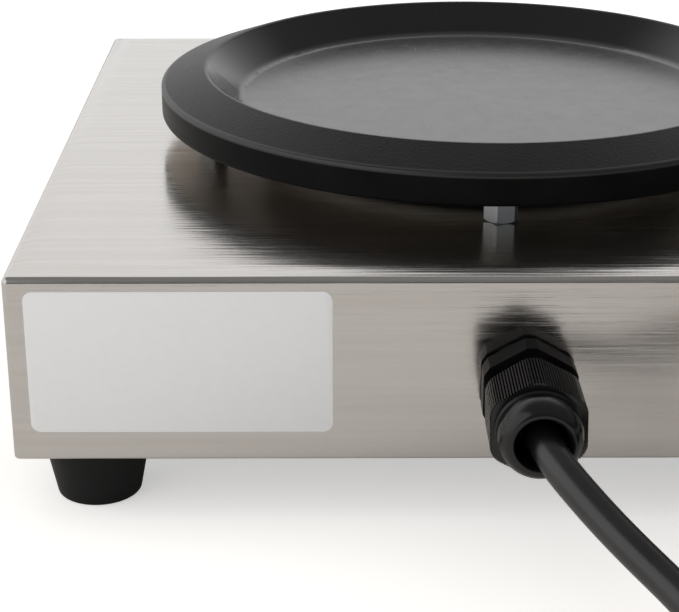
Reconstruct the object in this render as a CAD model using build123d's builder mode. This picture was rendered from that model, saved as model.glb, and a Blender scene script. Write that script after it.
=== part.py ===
# Decanter warmer: a folded steel case on four rubber feet, with a cast warming plate on standoffs.
# Millimetres. +Z is up, the origin is on the floor under the middle of the case.
# The switch faces -Y and the cord leaves the rear wall towards +Y.
import math
import os

from build123d import *

os.makedirs("parts", exist_ok=True)

# Case and feet
case_width = 200.0
case_depth = 195.0
case_height = 40.0
sheet = 1.0
bend_radius = 1.6
foot_height = 14.0
foot_top_radius = 11.5
foot_bottom_radius = 8.3
foot_edge_radius = 1.6
foot_inset = 15.0
foot_pocket_radius = 5.4
foot_pocket_depth = 7.5
foot_screw_radius = 2.4
foot_washer_radius = 5.0
foot_washer_thickness = 1.0
foot_head_radius = 4.2
foot_head_height = 2.8
foot_nut_flats = 8.0
foot_nut_height = 4.0
base_edge_gap = 0.3
bracket_width = 24.0
bracket_reach = 27.0
bracket_rise = 14.0
bracket_sheet = 1.5
vent_length = 34.0
vent_width = 4.0
vent_pitch = 10.0
vent_rows = 5
vent_spread = 56.0

# Clearances
hole_gap = 0.3
thread_gap = 0.15
running_gap = 0.06
slot_gap = 0.15
seat_gap = 0.2

# Warming plate and its standoffs
plate_radius = 76.5
plate_side = 7.0
lip_radius = 66.0
lip_rise = 3.7
well_radius = 57.5
well_floor = 3.0
well_corner_radius = 2.5
lip_edge_radius = 0.8
rim_edge_radius = 0.7
underside_edge_radius = 0.8
boss_radius = 9.0
boss_height = 2.6
standoff_circle = 65.0
standoff_count = 4
standoff_flats = 7.0
standoff_height = 6.5
standoff_stud_radius = 2.0
standoff_stud_length = 5.5
standoff_tap_depth = 5.0
case_screw_radius = 1.9
case_screw_head_radius = 3.6
case_screw_head_height = 2.4
case_washer_radius = 4.5
case_washer_thickness = 0.8

# Heating element, insulation and clamp plate under the warming plate
heater_radius = 52.0
heater_thickness = 1.4
insulation_thickness = 1.5
clamp_sheet = 1.0
clamp_screw_radius = 2.4
clamp_screw_reach = 4.2
clamp_head_radius = 4.4
clamp_head_height = 2.6
clamp_washer_radius = 6.0
clamp_washer_thickness = 0.9
top_opening_radius = 32.0
heater_tab_x = -14.0
heater_tab_y = 9.0
tab_width = 6.3
tab_thickness = 0.8
heater_tab_length = 12.0
tab_window = 1.2

# Thermostat
thermostat_x = 18.0
thermostat_cap_radius = 8.6
thermostat_cap_height = 4.0
thermostat_body_radius = 7.9
thermostat_body_height = 9.5
thermostat_ear_span = 24.0
thermostat_ear_radius = 3.6
thermostat_ear_sheet = 0.8
thermostat_screw_radius = 1.4
thermostat_head_radius = 2.6
thermostat_head_height = 1.6
thermostat_screw_reach = 2.2
thermostat_tab_spacing = 10.0
thermostat_tab_length = 8.0

# Rocker switch in the front wall
switch_height_in_case = 20.0
cutout_width = 13.0
cutout_height = 19.2
bezel_width = 15.0
bezel_height = 21.0
bezel_thickness = 1.6
bezel_edge_radius = 0.6
switch_body_depth = 14.0
switch_wall = 0.9
switch_back_wall = 1.6
pivot_depth = 1.0
pivot_radius = 1.2
rocker_side_gap = 0.3
rocker_half_length = 7.9
rocker_centre_rise = 1.6
rocker_facet_angle = 6.0
rocker_back = 1.5
rocker_throw = 18.0
stem_half_width = 2.2
stem_length = 6.4
plunger_radius = 0.9
plunger_tip = 9.3
plunger_tail = 4.0
contact_pivot = 10.0
contact_sheet = 0.6
contact_width = 3.6
contact_lower_arm = 5.5
contact_upper_arm = 3.2
contact_ratio = 0.6
terminal_width = 4.8
terminal_thickness = 0.8
terminal_length = 8.0
load_terminal_drop = 4.5
lamp_terminal_rise = 6.2
lamp_radius = 1.7
lamp_length = 6.6
contact_seat_gap = 0.3

# Cable gland in the rear wall
gland_x = -3.2
gland_height_in_case = 17.0
gland_thread_radius = 7.6
gland_thread_inside = 8.0
gland_washer_radius = 8.8
gland_washer_thickness = 1.0
gland_flange_flats = 18.5
gland_flange_thickness = 5.0
gland_corner_radius = 10.1
gland_bore_radius = 4.6
gland_neck_radius = 7.1
gland_neck_length = 12.0
locknut_flats = 19.0
locknut_thickness = 5.0
seal_wall = 0.9
seal_length = 9.0
nut_offset = 9.4
nut_hex_length = 11.1
nut_turn = 7.0
nut_rib_count = 12
nut_rib_pitch = 0.82
nut_rib_depth = 0.3
nut_rib_width = 0.4
nut_front_chamfer = 0.7
dome_base_radius = 8.15
dome_straight = 1.6
dome_length = 6.4
dome_hole_radius = 5.0
nut_roof = 1.8

# Cord, coil, tie and plug
cord_diameter = 6.6
cord_sheath_inside = 12.5
cord_straight = 4.0
coil_run_in = 20.0
coil_run_out = 18.0
coil_centre_x = -125.0
coil_centre_y = 160.0
coil_outer_radius = 50.0
coil_pitch = 7.4
coil_turns_in = 3.0
coil_turns_out = 2.75
tie_thickness = 1.0
tie_gap = 0.3
tie_width = 9.0
plug_width = 27.0
plug_height = 22.8
plug_length = 24.0
plug_corner_radius = 6.0
plug_waist_width = 15.0
plug_waist_height = 14.0
plug_shoulder = 9.0
relief_length = 20.0
relief_thick_radius = 5.6
relief_thin_radius = 4.4
relief_groove_count = 4
relief_groove_width = 1.4
relief_groove_depth = 0.7
blade_width = 6.35
blade_thickness = 1.5
blade_length = 16.5
blade_spacing = 12.7
blade_tip_radius = 1.6
earth_pin_radius = 2.4
earth_pin_length = 19.5
earth_pin_drop = 8.6
blade_rise = 3.2

# Inside wiring
wire_diameter = 2.2
core_spread = 1.5
core_rise = 0.9
core_drop = 1.7
connector_width = 8.0
connector_thickness = 3.8
connector_length = 14.0
connector_grip = 6.5
small_connector_width = 6.6
earth_stud_x = -40.0
earth_stud_y = 62.0
earth_stud_radius = 2.0
earth_stud_length = 9.0
earth_nut_flats = 7.0
earth_nut_height = 3.2
ring_radius = 4.4
ring_sheet = 0.8
barrel_radius = 1.9
barrel_length = 7.0
barrel_offset = 5.0

# Heights and places worked out from the sizes above
case_bottom = foot_height
case_top = case_bottom + case_height
base_top = case_bottom + sheet
inner_top = case_top - sheet
inner_half_width = case_width / 2 - sheet
inner_half_depth = case_depth / 2 - sheet
front_face = -case_depth / 2
rear_face = case_depth / 2
foot_x = case_width / 2 - foot_inset
foot_y = case_depth / 2 - foot_inset
plate_bottom = case_top + standoff_height
rim_top = plate_bottom + plate_side
lip_top = rim_top + lip_rise
well_top = plate_bottom + well_floor
heater_bottom = plate_bottom - heater_thickness
insulation_bottom = heater_bottom - insulation_thickness
clamp_bottom = insulation_bottom - clamp_sheet
switch_z = case_bottom + switch_height_in_case
pivot_y = front_face + pivot_depth
switch_back = pivot_y + switch_body_depth
rest_tilt = rocker_throw / 2
gland_z = case_bottom + gland_height_in_case
cord_radius = cord_diameter / 2


def edges_at(part, radius, height):
    """The round edges of this radius at this height above the floor."""
    rings = part.edges().filter_by(GeomType.CIRCLE)
    return rings.filter_by(lambda e: abs(e.radius - radius) < 0.01 and abs(e.arc_center.Z - height) < 0.01)


def bend_radii(points):
    """The largest arc at each corner: 0.45 of its shorter run over the tangent of half its turn."""
    radii = []
    for before, corner, after in zip(points, points[1:], points[2:]):
        run_in = Vector(*corner) - Vector(*before)
        run_out = Vector(*after) - Vector(*corner)
        half_turn = math.radians(run_in.get_angle(run_out) / 2)
        radii.append(0.45 * min(run_in.length, run_out.length) / math.tan(half_turn))
    return radii


def routed_tube(points, diameter, name):
    """A round tube along straight runs joined by tangent arcs, written under its name. Returns its length."""
    radii = bend_radii(points)
    with BuildPart() as tube:
        with BuildLine() as route:
            FilletPolyline(*points, radius=radii)
        with BuildSketch(Plane(route.wire() ^ 0)):
            Circle(diameter / 2)
        sweep(path=route.wire())
    tube.part.label = name
    export_step(tube.part, f"parts/{name}.step")
    length = route.wire().length
    expected = length * math.pi * diameter**2 / 4
    print(name, "length", round(length, 1), "volume over section", round(tube.part.volume / expected, 4))
    print(name, "bend radii", [round(radius, 1) for radius in radii])
    return length


def finish(builder, name):
    """Name a finished piece and write it to its own file."""
    builder.part.label = name
    export_step(builder.part, f"parts/{name}.step")


# Folded case: top and four walls in one sheet, open below
with BuildPart() as housing_shell:
    with BuildSketch(Plane.XY.offset(case_bottom)):
        RectangleRounded(case_width, case_depth, bend_radius)
    extrude(amount=case_height)
    fillet(housing_shell.faces().sort_by(Axis.Z)[-1].edges(), bend_radius * 0.999)
    offset(amount=-sheet, openings=housing_shell.faces().sort_by(Axis.Z)[0])
    with BuildSketch(Plane.XY.offset(case_top)):
        Circle(top_opening_radius)
        with PolarLocations(standoff_circle, standoff_count):
            Circle(case_screw_radius + hole_gap)
    extrude(amount=-2 * sheet, mode=Mode.SUBTRACT)
    with BuildSketch(Plane.XZ.offset(-front_face)):
        with Locations((0, switch_z)):
            Rectangle(cutout_width, cutout_height)
    extrude(amount=-2 * sheet, mode=Mode.SUBTRACT)
    with BuildSketch(Plane.XZ.offset(-rear_face)):
        with Locations((gland_x, gland_z)):
            Circle(gland_thread_radius + hole_gap)
    extrude(amount=2 * sheet, mode=Mode.SUBTRACT)
finish(housing_shell, "housing_shell")

# Flat base inside the walls, with rows of vents
with BuildPart() as base_plate:
    with BuildSketch(Plane.XY.offset(case_bottom)):
        Rectangle(2 * (inner_half_width - base_edge_gap), 2 * (inner_half_depth - base_edge_gap))
        with GridLocations(2 * foot_x, 2 * foot_y, 2, 2):
            Circle(foot_screw_radius + hole_gap, mode=Mode.SUBTRACT)
        with GridLocations(vent_spread, vent_pitch, 2, vent_rows):
            SlotOverall(vent_length, vent_width, mode=Mode.SUBTRACT)
    extrude(amount=sheet)
finish(base_plate, "base_plate")

# Corner brackets welded to the side walls above the base
with BuildPart() as corner_brackets:
    with BuildSketch(Plane.XZ.offset(-foot_y - bracket_width / 2)):
        with BuildLine():
            Polyline(
                (inner_half_width, base_top),
                (inner_half_width, base_top + bracket_rise),
                (inner_half_width - bracket_sheet, base_top + bracket_rise),
                (inner_half_width - bracket_sheet, base_top + bracket_sheet),
                (inner_half_width - bracket_reach, base_top + bracket_sheet),
                (inner_half_width - bracket_reach, base_top),
                close=True,
            )
        make_face()
    extrude(amount=bracket_width)
    with BuildSketch(Plane.XY.offset(base_top)):
        with Locations((foot_x, foot_y)):
            Circle(foot_screw_radius + hole_gap)
    extrude(amount=bracket_sheet, mode=Mode.SUBTRACT)
    mirror(about=Plane.XZ)
    mirror(about=Plane.YZ)
finish(corner_brackets, "corner_brackets")

# Nuts on the brackets, screws and washers up through the feet
nut_seat = base_top + bracket_sheet
pocket_top = foot_pocket_depth
with BuildPart() as foot_nuts:
    with BuildSketch(Plane.XY.offset(nut_seat)):
        with GridLocations(2 * foot_x, 2 * foot_y, 2, 2):
            RegularPolygon(foot_nut_flats / 2, 6, major_radius=False)
            Circle(foot_screw_radius + thread_gap, mode=Mode.SUBTRACT)
    extrude(amount=foot_nut_height)
finish(foot_nuts, "foot_nuts")

with BuildPart() as foot_washers:
    with BuildSketch(Plane.XY.offset(pocket_top)):
        with GridLocations(2 * foot_x, 2 * foot_y, 2, 2):
            Circle(foot_washer_radius)
            Circle(foot_screw_radius + hole_gap, mode=Mode.SUBTRACT)
    extrude(amount=-foot_washer_thickness)
finish(foot_washers, "foot_washers")

head_seat = pocket_top - foot_washer_thickness
with BuildPart() as foot_screws:
    with BuildSketch(Plane.XY.offset(head_seat)):
        with GridLocations(2 * foot_x, 2 * foot_y, 2, 2):
            Circle(foot_head_radius)
    extrude(amount=-foot_head_height)
    fillet(foot_screws.edges().group_by(Axis.Z)[0], foot_head_height / 3)
    with BuildSketch(Plane.XY.offset(head_seat)):
        with GridLocations(2 * foot_x, 2 * foot_y, 2, 2):
            Circle(foot_screw_radius)
    extrude(amount=nut_seat + foot_nut_height - head_seat)
finish(foot_screws, "foot_screws")

# Rubber feet: tapered, with a pocket for the screw head
foot_places = {
    "foot_front_left": (-foot_x, -foot_y),
    "foot_front_right": (foot_x, -foot_y),
    "foot_rear_left": (-foot_x, foot_y),
    "foot_rear_right": (foot_x, foot_y),
}
for foot_name, (place_x, place_y) in foot_places.items():
    with BuildPart() as foot:
        with BuildSketch(Plane(origin=(place_x, place_y, 0), x_dir=(1, 0, 0), z_dir=(0, -1, 0))):
            with BuildLine():
                Polyline(
                    (foot_pocket_radius, 0),
                    (foot_bottom_radius, 0),
                    (foot_top_radius, foot_height),
                    (foot_screw_radius + hole_gap, foot_height),
                    (foot_screw_radius + hole_gap, foot_pocket_depth),
                    (foot_pocket_radius, foot_pocket_depth),
                    close=True,
                )
            make_face()
        revolve(axis=Axis((place_x, place_y, 0), (0, 0, 1)))
        fillet(edges_at(foot, foot_bottom_radius, 0), foot_edge_radius)
    finish(foot, foot_name)

# Cast warming plate: thick sloping rim round a shallow well, with a boss below its middle
with BuildPart() as warming_plate:
    with BuildSketch(Plane.XZ):
        with BuildLine():
            Polyline(
                (0, plate_bottom - boss_height),
                (boss_radius, plate_bottom - boss_height),
                (boss_radius, plate_bottom),
                (plate_radius, plate_bottom),
                (plate_radius, rim_top),
                (lip_radius, lip_top),
                (well_radius, well_top),
                (0, well_top),
                close=True,
            )
        make_face()
    revolve(axis=Axis.Z)
    fillet(edges_at(warming_plate, plate_radius, plate_bottom), underside_edge_radius)
    fillet(edges_at(warming_plate, plate_radius, rim_top), rim_edge_radius)
    fillet(edges_at(warming_plate, lip_radius, lip_top), lip_edge_radius)
    fillet(edges_at(warming_plate, well_radius, well_top), well_corner_radius)
    with BuildSketch(Plane.XY.offset(plate_bottom)):
        with PolarLocations(standoff_circle, standoff_count):
            Circle(standoff_stud_radius + thread_gap)
    extrude(amount=standoff_stud_length + seat_gap, mode=Mode.SUBTRACT)
    with BuildSketch(Plane.XY.offset(plate_bottom - boss_height)):
        Circle(clamp_screw_radius + thread_gap)
    extrude(amount=clamp_screw_reach + seat_gap, mode=Mode.SUBTRACT)
finish(warming_plate, "warming_plate")

# Hex standoffs: a stud into the plate above, a tapped hole for the case screw below
with BuildPart() as plate_standoffs:
    with BuildSketch(Plane.XY.offset(case_top)):
        with PolarLocations(standoff_circle, standoff_count):
            RegularPolygon(standoff_flats / 2, 6, major_radius=False)
    extrude(amount=standoff_height)
    with BuildSketch(Plane.XY.offset(plate_bottom)):
        with PolarLocations(standoff_circle, standoff_count):
            Circle(standoff_stud_radius)
    extrude(amount=standoff_stud_length)
    with BuildSketch(Plane.XY.offset(case_top)):
        with PolarLocations(standoff_circle, standoff_count):
            Circle(case_screw_radius + thread_gap)
    extrude(amount=standoff_tap_depth, mode=Mode.SUBTRACT)
finish(plate_standoffs, "plate_standoffs")

with BuildPart() as case_washers:
    with BuildSketch(Plane.XY.offset(inner_top)):
        with PolarLocations(standoff_circle, standoff_count):
            Circle(case_washer_radius)
            Circle(case_screw_radius + hole_gap, mode=Mode.SUBTRACT)
    extrude(amount=-case_washer_thickness)
finish(case_washers, "case_washers")

case_head_seat = inner_top - case_washer_thickness
with BuildPart() as case_screws:
    with BuildSketch(Plane.XY.offset(case_head_seat)):
        with PolarLocations(standoff_circle, standoff_count):
            Circle(case_screw_head_radius)
    extrude(amount=-case_screw_head_height)
    fillet(case_screws.edges().group_by(Axis.Z)[0], case_screw_head_height / 3)
    with BuildSketch(Plane.XY.offset(case_head_seat)):
        with PolarLocations(standoff_circle, standoff_count):
            Circle(case_screw_radius)
    extrude(amount=case_top + standoff_tap_depth - seat_gap - case_head_seat)
finish(case_screws, "case_screws")

# Heating element, insulation and clamp plate, stacked under the plate round its boss
with BuildPart() as heating_element:
    with BuildSketch(Plane.XY.offset(heater_bottom)):
        Circle(heater_radius)
        Circle(boss_radius + hole_gap, mode=Mode.SUBTRACT)
    extrude(amount=heater_thickness)
finish(heating_element, "heating_element")

thermostat_screw_places = [
    (thermostat_x, -thermostat_ear_span / 2),
    (thermostat_x, thermostat_ear_span / 2),
]
heater_tab_places = [(heater_tab_x, -heater_tab_y), (heater_tab_x, heater_tab_y)]
with BuildPart() as heater_insulation:
    with BuildSketch(Plane.XY.offset(insulation_bottom)):
        Circle(heater_radius)
        Circle(boss_radius + hole_gap, mode=Mode.SUBTRACT)
        with Locations(*thermostat_screw_places):
            Circle(thermostat_screw_radius + hole_gap, mode=Mode.SUBTRACT)
        with Locations(*heater_tab_places):
            Rectangle(tab_width + 2 * tab_window, tab_thickness + 2 * tab_window, mode=Mode.SUBTRACT)
    extrude(amount=insulation_thickness)
finish(heater_insulation, "heater_insulation")

with BuildPart() as heater_clamp:
    with BuildSketch(Plane.XY.offset(clamp_bottom)):
        Circle(heater_radius)
        Circle(clamp_screw_radius + hole_gap, mode=Mode.SUBTRACT)
        with Locations(*thermostat_screw_places):
            Circle(thermostat_screw_radius + thread_gap, mode=Mode.SUBTRACT)
        with Locations(*heater_tab_places):
            Rectangle(tab_width + 2 * tab_window, tab_thickness + 2 * tab_window, mode=Mode.SUBTRACT)
    extrude(amount=clamp_sheet)
finish(heater_clamp, "heater_clamp")

with BuildPart() as clamp_washer:
    with BuildSketch(Plane.XY.offset(clamp_bottom)):
        Circle(clamp_washer_radius)
        Circle(clamp_screw_radius + hole_gap, mode=Mode.SUBTRACT)
    extrude(amount=-clamp_washer_thickness)
finish(clamp_washer, "clamp_washer")

clamp_head_seat = clamp_bottom - clamp_washer_thickness
with BuildPart() as clamp_screw:
    with BuildSketch(Plane.XY.offset(clamp_head_seat)):
        RegularPolygon(clamp_head_radius, 6)
    extrude(amount=-clamp_head_height)
    with BuildSketch(Plane.XY.offset(clamp_head_seat)):
        Circle(clamp_screw_radius)
    extrude(amount=plate_bottom - boss_height + clamp_screw_reach - clamp_head_seat)
finish(clamp_screw, "clamp_screw")

with BuildPart() as heater_tabs:
    with BuildSketch(Plane.XY.offset(heater_bottom)):
        with Locations(*heater_tab_places):
            Rectangle(tab_width, tab_thickness)
    extrude(amount=-heater_tab_length)
finish(heater_tabs, "heater_tabs")

# Disc thermostat hung from the clamp plate by its two ears
cap_bottom = clamp_bottom - thermostat_cap_height
thermostat_bottom = cap_bottom - thermostat_body_height
with BuildPart() as thermostat_cap:
    with BuildSketch(Plane.XY.offset(clamp_bottom)):
        with Locations((thermostat_x, 0)):
            SlotCenterToCenter(thermostat_ear_span, 2 * thermostat_ear_radius, rotation=90)
        with Locations(*thermostat_screw_places):
            Circle(thermostat_screw_radius + hole_gap, mode=Mode.SUBTRACT)
    extrude(amount=-thermostat_ear_sheet)
    with BuildSketch(Plane.XY.offset(clamp_bottom)):
        with Locations((thermostat_x, 0)):
            Circle(thermostat_cap_radius)
    extrude(amount=-thermostat_cap_height)
finish(thermostat_cap, "thermostat_cap")

with BuildPart() as thermostat_body:
    with BuildSketch(Plane.XY.offset(cap_bottom)):
        with Locations((thermostat_x, 0)):
            Circle(thermostat_body_radius)
    extrude(amount=-thermostat_body_height)
    chamfer(edges_at(thermostat_body, thermostat_body_radius, thermostat_bottom), thermostat_body_height / 8)
finish(thermostat_body, "thermostat_body")

thermostat_tab_places = [
    (thermostat_x, -thermostat_tab_spacing / 2),
    (thermostat_x, thermostat_tab_spacing / 2),
]
with BuildPart() as thermostat_tabs:
    with BuildSketch(Plane.XY.offset(thermostat_bottom)):
        with Locations(*thermostat_tab_places):
            Rectangle(tab_width, tab_thickness)
    extrude(amount=-thermostat_tab_length)
finish(thermostat_tabs, "thermostat_tabs")

ear_bottom = clamp_bottom - thermostat_ear_sheet
with BuildPart() as thermostat_screws:
    with BuildSketch(Plane.XY.offset(ear_bottom)):
        with Locations(*thermostat_screw_places):
            Circle(thermostat_head_radius)
    extrude(amount=-thermostat_head_height)
    with BuildSketch(Plane.XY.offset(ear_bottom)):
        with Locations(*thermostat_screw_places):
            Circle(thermostat_screw_radius)
    extrude(amount=thermostat_ear_sheet + thermostat_screw_reach)
finish(thermostat_screws, "thermostat_screws")

# Rocker switch: a body clipped into the front wall, open in front
cavity_half_width = cutout_width / 2 - hole_gap - switch_wall
cavity_half_height = cutout_height / 2 - hole_gap / 2 - switch_wall
terminal_heights = [switch_z - load_terminal_drop, switch_z, switch_z + lamp_terminal_rise]
with BuildPart() as switch_body:
    with BuildSketch(Plane.XZ.offset(-front_face)):
        with Locations((0, switch_z)):
            RectangleRounded(bezel_width, bezel_height, 2 * bezel_edge_radius)
    extrude(amount=bezel_thickness)
    fillet(switch_body.faces().sort_by(Axis.Y)[0].edges(), bezel_edge_radius)
    with BuildSketch(Plane.XZ.offset(-front_face)):
        with Locations((0, switch_z)):
            Rectangle(cutout_width - 2 * hole_gap, cutout_height - hole_gap)
    extrude(amount=front_face - switch_back)
    with BuildSketch(Plane.XZ.offset(bezel_thickness - front_face)):
        with Locations((0, switch_z)):
            Rectangle(2 * cavity_half_width, 2 * cavity_half_height)
    extrude(amount=front_face - bezel_thickness - switch_back + switch_back_wall, mode=Mode.SUBTRACT)
    with BuildSketch(Plane.XZ.offset(-switch_back)):
        for height in terminal_heights:
            with Locations((0, height)):
                Rectangle(terminal_width + 2 * slot_gap, terminal_thickness + 2 * slot_gap)
    extrude(amount=switch_back_wall, mode=Mode.SUBTRACT)
    with BuildSketch(Plane.YZ.offset(-bezel_width)):
        with Locations((pivot_y, switch_z)):
            Circle(pivot_radius + running_gap)
    extrude(amount=2 * bezel_width, mode=Mode.SUBTRACT)
finish(switch_body, "switch_body")

# Rocker drawn level about its pivot and tilted to its off position
rocker_plane = Plane(
    origin=(0, pivot_y, switch_z),
    x_dir=(0, math.cos(math.radians(rest_tilt)), math.sin(math.radians(rest_tilt))),
    z_dir=(1, 0, 0),
)
rocker_half_width = cavity_half_width - rocker_side_gap
rocker_end_rise = rocker_centre_rise + rocker_half_length * math.tan(math.radians(rocker_facet_angle))
rocker_back_half = rocker_half_length - rocker_side_gap
plunger_seat = rocker_plane.from_local_coords((plunger_tail - running_gap, 0, 0))
with BuildPart() as switch_rocker:
    with BuildSketch(rocker_plane):
        with BuildLine():
            Polyline(
                (-rocker_centre_rise, 0),
                (-rocker_end_rise, rocker_half_length),
                (rocker_back, rocker_back_half),
                (rocker_back, stem_half_width),
                (stem_length, stem_half_width),
                (stem_length, -stem_half_width),
                (rocker_back, -stem_half_width),
                (rocker_back, -rocker_back_half),
                (-rocker_end_rise, -rocker_half_length),
                close=True,
            )
        make_face()
    extrude(amount=rocker_half_width, both=True)
    with BuildSketch(rocker_plane):
        Circle(pivot_radius)
    extrude(amount=cutout_width / 2 - hole_gap, both=True)
    with BuildSketch(Plane(origin=plunger_seat, z_dir=rocker_plane.x_dir)):
        Circle(plunger_radius + running_gap)
    extrude(amount=stem_length, mode=Mode.SUBTRACT)
finish(switch_rocker, "switch_rocker")

with BuildPart() as switch_plunger:
    with BuildSketch(rocker_plane):
        with BuildLine():
            Line((plunger_tail, 0), (plunger_tail, plunger_radius))
            Line((plunger_tail, plunger_radius), (plunger_tip - plunger_radius, plunger_radius))
            RadiusArc((plunger_tip - plunger_radius, plunger_radius), (plunger_tip, 0), plunger_radius)
            Line((plunger_tip, 0), (plunger_tail, 0))
        make_face()
    revolve(axis=Axis(rocker_plane.origin, rocker_plane.x_dir))
finish(switch_plunger, "switch_plunger")

# See-saw contact, which the plunger tips the opposite way
contact_rest = -contact_ratio * rest_tilt
contact_plane = Plane(
    origin=(0, pivot_y + contact_pivot, switch_z),
    x_dir=(0, math.cos(math.radians(contact_rest)), math.sin(math.radians(contact_rest))),
    z_dir=(1, 0, 0),
)
with BuildPart() as switch_contact:
    with BuildSketch(contact_plane):
        with Locations((0, (contact_upper_arm - contact_lower_arm) / 2)):
            Rectangle(contact_sheet, contact_upper_arm + contact_lower_arm)
    extrude(amount=contact_width / 2, both=True)
finish(switch_contact, "switch_contact")

# Spade terminals through the back wall, from inside ends to outside ends
contact_swing = load_terminal_drop * math.tan(math.radians(contact_ratio * rest_tilt))
contact_back = contact_pivot + contact_sheet / 2 + contact_seat_gap
lamp_seat = switch_body_depth - switch_back_wall - contact_seat_gap
terminal_starts = [contact_back + contact_swing, contact_back, lamp_seat]
with BuildPart() as switch_terminals:
    for height, start in zip(terminal_heights, terminal_starts):
        with BuildSketch(Plane.XZ.offset(-pivot_y - start)):
            with Locations((0, height)):
                Rectangle(terminal_width, terminal_thickness)
        extrude(amount=start - switch_body_depth - terminal_length)
finish(switch_terminals, "switch_terminals")

with BuildPart() as switch_lamp:
    with BuildSketch(Plane.XZ.offset(-pivot_y - lamp_seat)):
        with Locations((0, terminal_heights[2])):
            Circle(lamp_radius)
    extrude(amount=lamp_length)
    fillet(switch_lamp.faces().sort_by(Axis.Y)[0].edges(), lamp_radius / 2)
finish(switch_lamp, "switch_lamp")

# Cable gland: flanged body through the rear wall, washer, locknut, seal and ribbed dome nut
gland_axis = Axis((gland_x, rear_face, gland_z), (0, 1, 0))
gland_profile = Plane(origin=(gland_x, rear_face, gland_z), x_dir=(0, 1, 0), z_dir=(1, 0, 0))
thread_end = -sheet - gland_thread_inside
flange_back = gland_washer_thickness
flange_front = flange_back + gland_flange_thickness
neck_end = flange_front + gland_neck_length
nut_front = nut_offset + nut_hex_length
dome_end = nut_front + dome_length


def gland_plane(out):
    """A plane across the gland's axis, this far out from the rear wall."""
    return Plane(origin=(gland_x, rear_face + out, gland_z), x_dir=(-1, 0, 0), z_dir=(0, 1, 0))


with BuildPart() as gland_body:
    with BuildSketch(gland_profile):
        with Locations(((thread_end + neck_end) / 2, gland_neck_radius / 2)):
            Rectangle(neck_end - thread_end, gland_neck_radius)
        with Locations(((thread_end + flange_front) / 2, gland_thread_radius / 2)):
            Rectangle(flange_front - thread_end, gland_thread_radius)
        with Locations(((thread_end + neck_end) / 2, gland_bore_radius / 2)):
            Rectangle(neck_end - thread_end, gland_bore_radius, mode=Mode.SUBTRACT)
    revolve(axis=gland_axis)
    with BuildSketch(gland_plane(flange_back)):
        RegularPolygon(gland_flange_flats / 2, 6, major_radius=False, rotation=30)
        Circle(gland_corner_radius, mode=Mode.INTERSECT)
        Circle(gland_thread_radius, mode=Mode.SUBTRACT)
    extrude(amount=gland_flange_thickness)
finish(gland_body, "gland_body")

with BuildPart() as gland_washer:
    with BuildSketch(gland_plane(0)):
        Circle(gland_washer_radius)
        Circle(gland_thread_radius + hole_gap, mode=Mode.SUBTRACT)
    extrude(amount=gland_washer_thickness)
finish(gland_washer, "gland_washer")

with BuildPart() as gland_locknut:
    with BuildSketch(gland_plane(-sheet)):
        RegularPolygon(locknut_flats / 2, 6, major_radius=False)
        Circle(gland_thread_radius + thread_gap, mode=Mode.SUBTRACT)
    extrude(amount=-locknut_thickness)
finish(gland_locknut, "gland_locknut")

with BuildPart() as gland_seal:
    with BuildSketch(gland_plane(neck_end)):
        Circle(gland_bore_radius - thread_gap)
        Circle(gland_bore_radius - thread_gap - seal_wall, mode=Mode.SUBTRACT)
    extrude(amount=-seal_length)
finish(gland_seal, "gland_seal")

with BuildPart() as gland_nut:
    with BuildSketch(gland_plane(nut_offset)):
        RegularPolygon(gland_flange_flats / 2, 6, major_radius=False, rotation=30 + nut_turn)
        Circle(gland_corner_radius, mode=Mode.INTERSECT)
    extrude(amount=nut_hex_length)
    chamfer(gland_nut.faces().sort_by(Axis.Y)[-1].edges(), nut_front_chamfer)
    with BuildSketch(gland_plane(nut_offset)):
        with PolarLocations(gland_flange_flats / 2, 6, start_angle=nut_turn):
            with GridLocations(0, nut_rib_pitch, 1, nut_rib_count):
                Rectangle(2 * nut_rib_depth, nut_rib_width)
    extrude(amount=nut_hex_length - nut_front_chamfer, mode=Mode.SUBTRACT)
    with BuildSketch(gland_profile):
        with BuildLine():
            Line((nut_front, 0), (nut_front, dome_base_radius))
            Line((nut_front, dome_base_radius), (nut_front + dome_straight, dome_base_radius))
            EllipticalCenterArc(
                (nut_front + dome_straight, dome_hole_radius),
                dome_length - dome_straight,
                dome_base_radius - dome_hole_radius,
                start_angle=0,
                arc_size=90,
            )
            Line((dome_end, dome_hole_radius), (dome_end, 0))
            Line((dome_end, 0), (nut_front, 0))
        make_face()
    revolve(axis=gland_axis)
    with BuildSketch(gland_plane(nut_offset)):
        Circle(gland_neck_radius + hole_gap)
    extrude(amount=nut_hex_length - nut_roof, mode=Mode.SUBTRACT)
    with BuildSketch(gland_plane(nut_offset)):
        Circle(dome_hole_radius)
    extrude(amount=nut_hex_length + dome_length, mode=Mode.SUBTRACT)
finish(gland_nut, "gland_nut")

# Sheathed cord through the gland, up to the front of its seal
sheath_start = rear_face - sheet - cord_sheath_inside
sheath_end = rear_face + neck_end
with BuildPart() as cord_entry:
    with BuildSketch(Plane.XZ.offset(-sheath_start)):
        with Locations((gland_x, gland_z)):
            Circle(cord_radius)
    extrude(amount=sheath_start - sheath_end)
finish(cord_entry, "cord_entry")

# Coil: wound inwards on the floor layer, up in half a turn, and outwards on the layer above
coil_low = cord_radius + tie_thickness + tie_gap
coil_high = coil_low + coil_pitch
coil_inner_radius = coil_outer_radius - coil_pitch * coil_turns_in
coil_start_angle = 90.0
quarters_in = round(4 * coil_turns_in)
climb_quarter_count = 2
quarters_out = round(4 * coil_turns_out)


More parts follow.
